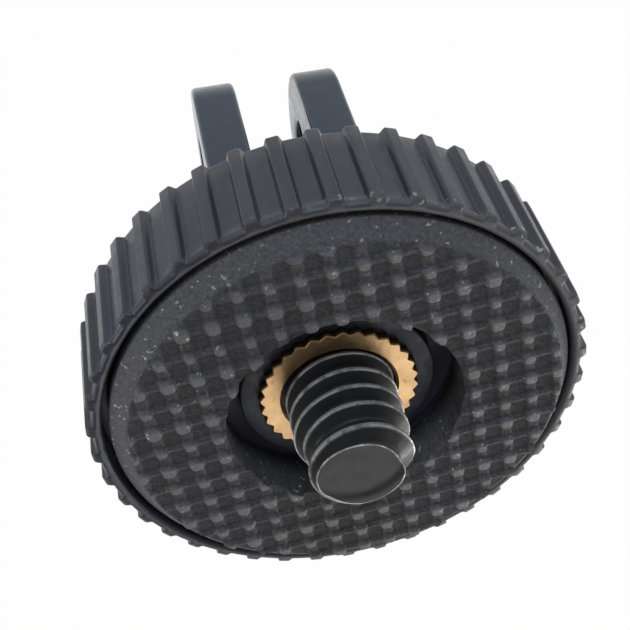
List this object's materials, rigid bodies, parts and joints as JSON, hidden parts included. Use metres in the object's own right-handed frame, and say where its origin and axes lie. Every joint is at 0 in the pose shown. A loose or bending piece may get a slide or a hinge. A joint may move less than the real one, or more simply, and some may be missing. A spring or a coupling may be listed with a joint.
{
  "type": "action camera thread adapter",
  "caption": "Forked plastic mount for an action camera arm, with a ribbed disc, a rubber pad and a threaded stud that screws into a camera.",
  "frame": {"origin": "on the stud's axis, in the plane of the rubber pad's bump tops", "axes": "+Z along the stud, out of the pad; +X along the fork's pivot hole"},
  "size_m": [0.0284, 0.0284, 0.035],
  "materials": {
    "adapter_body": "smooth moulded black plastic, semi-gloss",
    "rubber_pad": "matt dark grey rubber with a bumped face",
    "brass_insert": "turned and knurled brass",
    "threaded_stud": "black oxide, lightly oiled"
  },
  "bodies": {
    "root": {"adapter_body": "adapter_body", "rubber_pad": "rubber_pad", "brass_insert": "brass_insert", "threaded_stud": "threaded_stud"}
  },
  "joints": []
}
